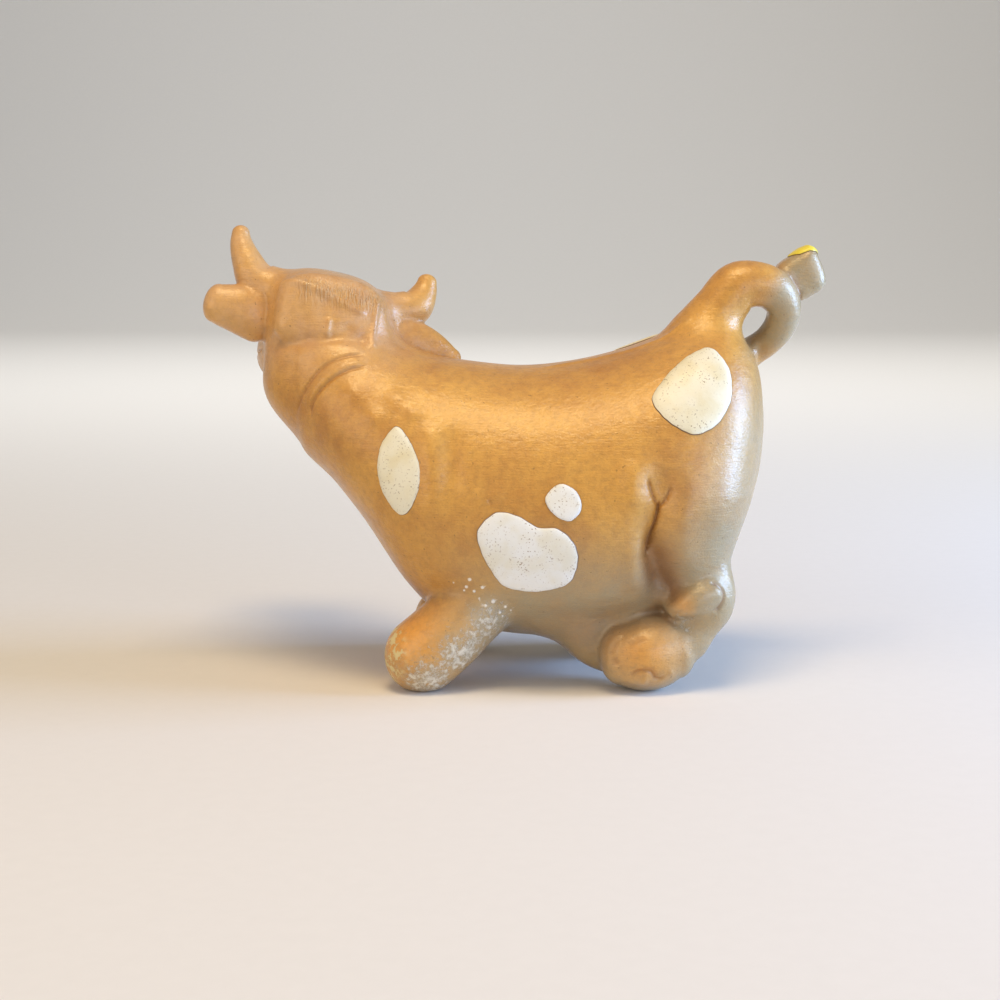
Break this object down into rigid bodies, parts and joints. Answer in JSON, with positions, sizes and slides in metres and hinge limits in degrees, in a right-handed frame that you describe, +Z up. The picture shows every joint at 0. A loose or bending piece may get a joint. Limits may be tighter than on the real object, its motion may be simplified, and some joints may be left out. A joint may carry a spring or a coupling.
{
  "type": "pepper shaker",
  "caption": "Hollow earthenware pepper shaker in the shape of a standing cow with its head turned back, slip-painted, with shaking holes in the crown and a cork in the belly.",
  "frame": {"origin": "on the table, under the middle of the shaker's bounding box", "axes": "+Z up, +X from chest to rump, so the cow's chest points along -X and its left flank along -Y; the head is turned to its right, towards +Y"},
  "size_m": [0.1182, 0.0658, 0.085],
  "materials": {
    "brown_slip_clay": "burnished and waxed caramel-brown slip on earthenware, darker in the hollows",
    "white_slip": "thick cream-white slip with fine brown specks, satin",
    "yellow_slip": "thick yellow slip, satin",
    "cork": "agglomerated cork, dry and matt"
  },
  "bodies": {
    "shaker": {"body_casting": "brown_slip_clay", "head_casting": "brown_slip_clay", "horn_left": "brown_slip_clay", "horn_right": "brown_slip_clay", "ear_left": "brown_slip_clay", "ear_right": "brown_slip_clay", "tail_loop": "brown_slip_clay", "tail_tuft": "brown_slip_clay", "slip_patch_shoulder": "white_slip", "slip_patch_belly": "white_slip", "slip_patch_dot": "white_slip", "slip_patch_rump": "white_slip", "slip_patch_back": "white_slip", "slip_patch_far_ribs": "white_slip", "slip_patch_far_rump": "white_slip", "slip_patch_far_dot": "white_slip", "slip_patch_tuft": "yellow_slip"},
    "stopper": {"cork_stopper": "cork"}
  },
  "joints": [
    {"name": "stopper_pull", "type": "slide", "parent": "shaker", "child": "stopper", "axis": [0, 0, -1], "range_m": [0, 0.02]}
  ]
}
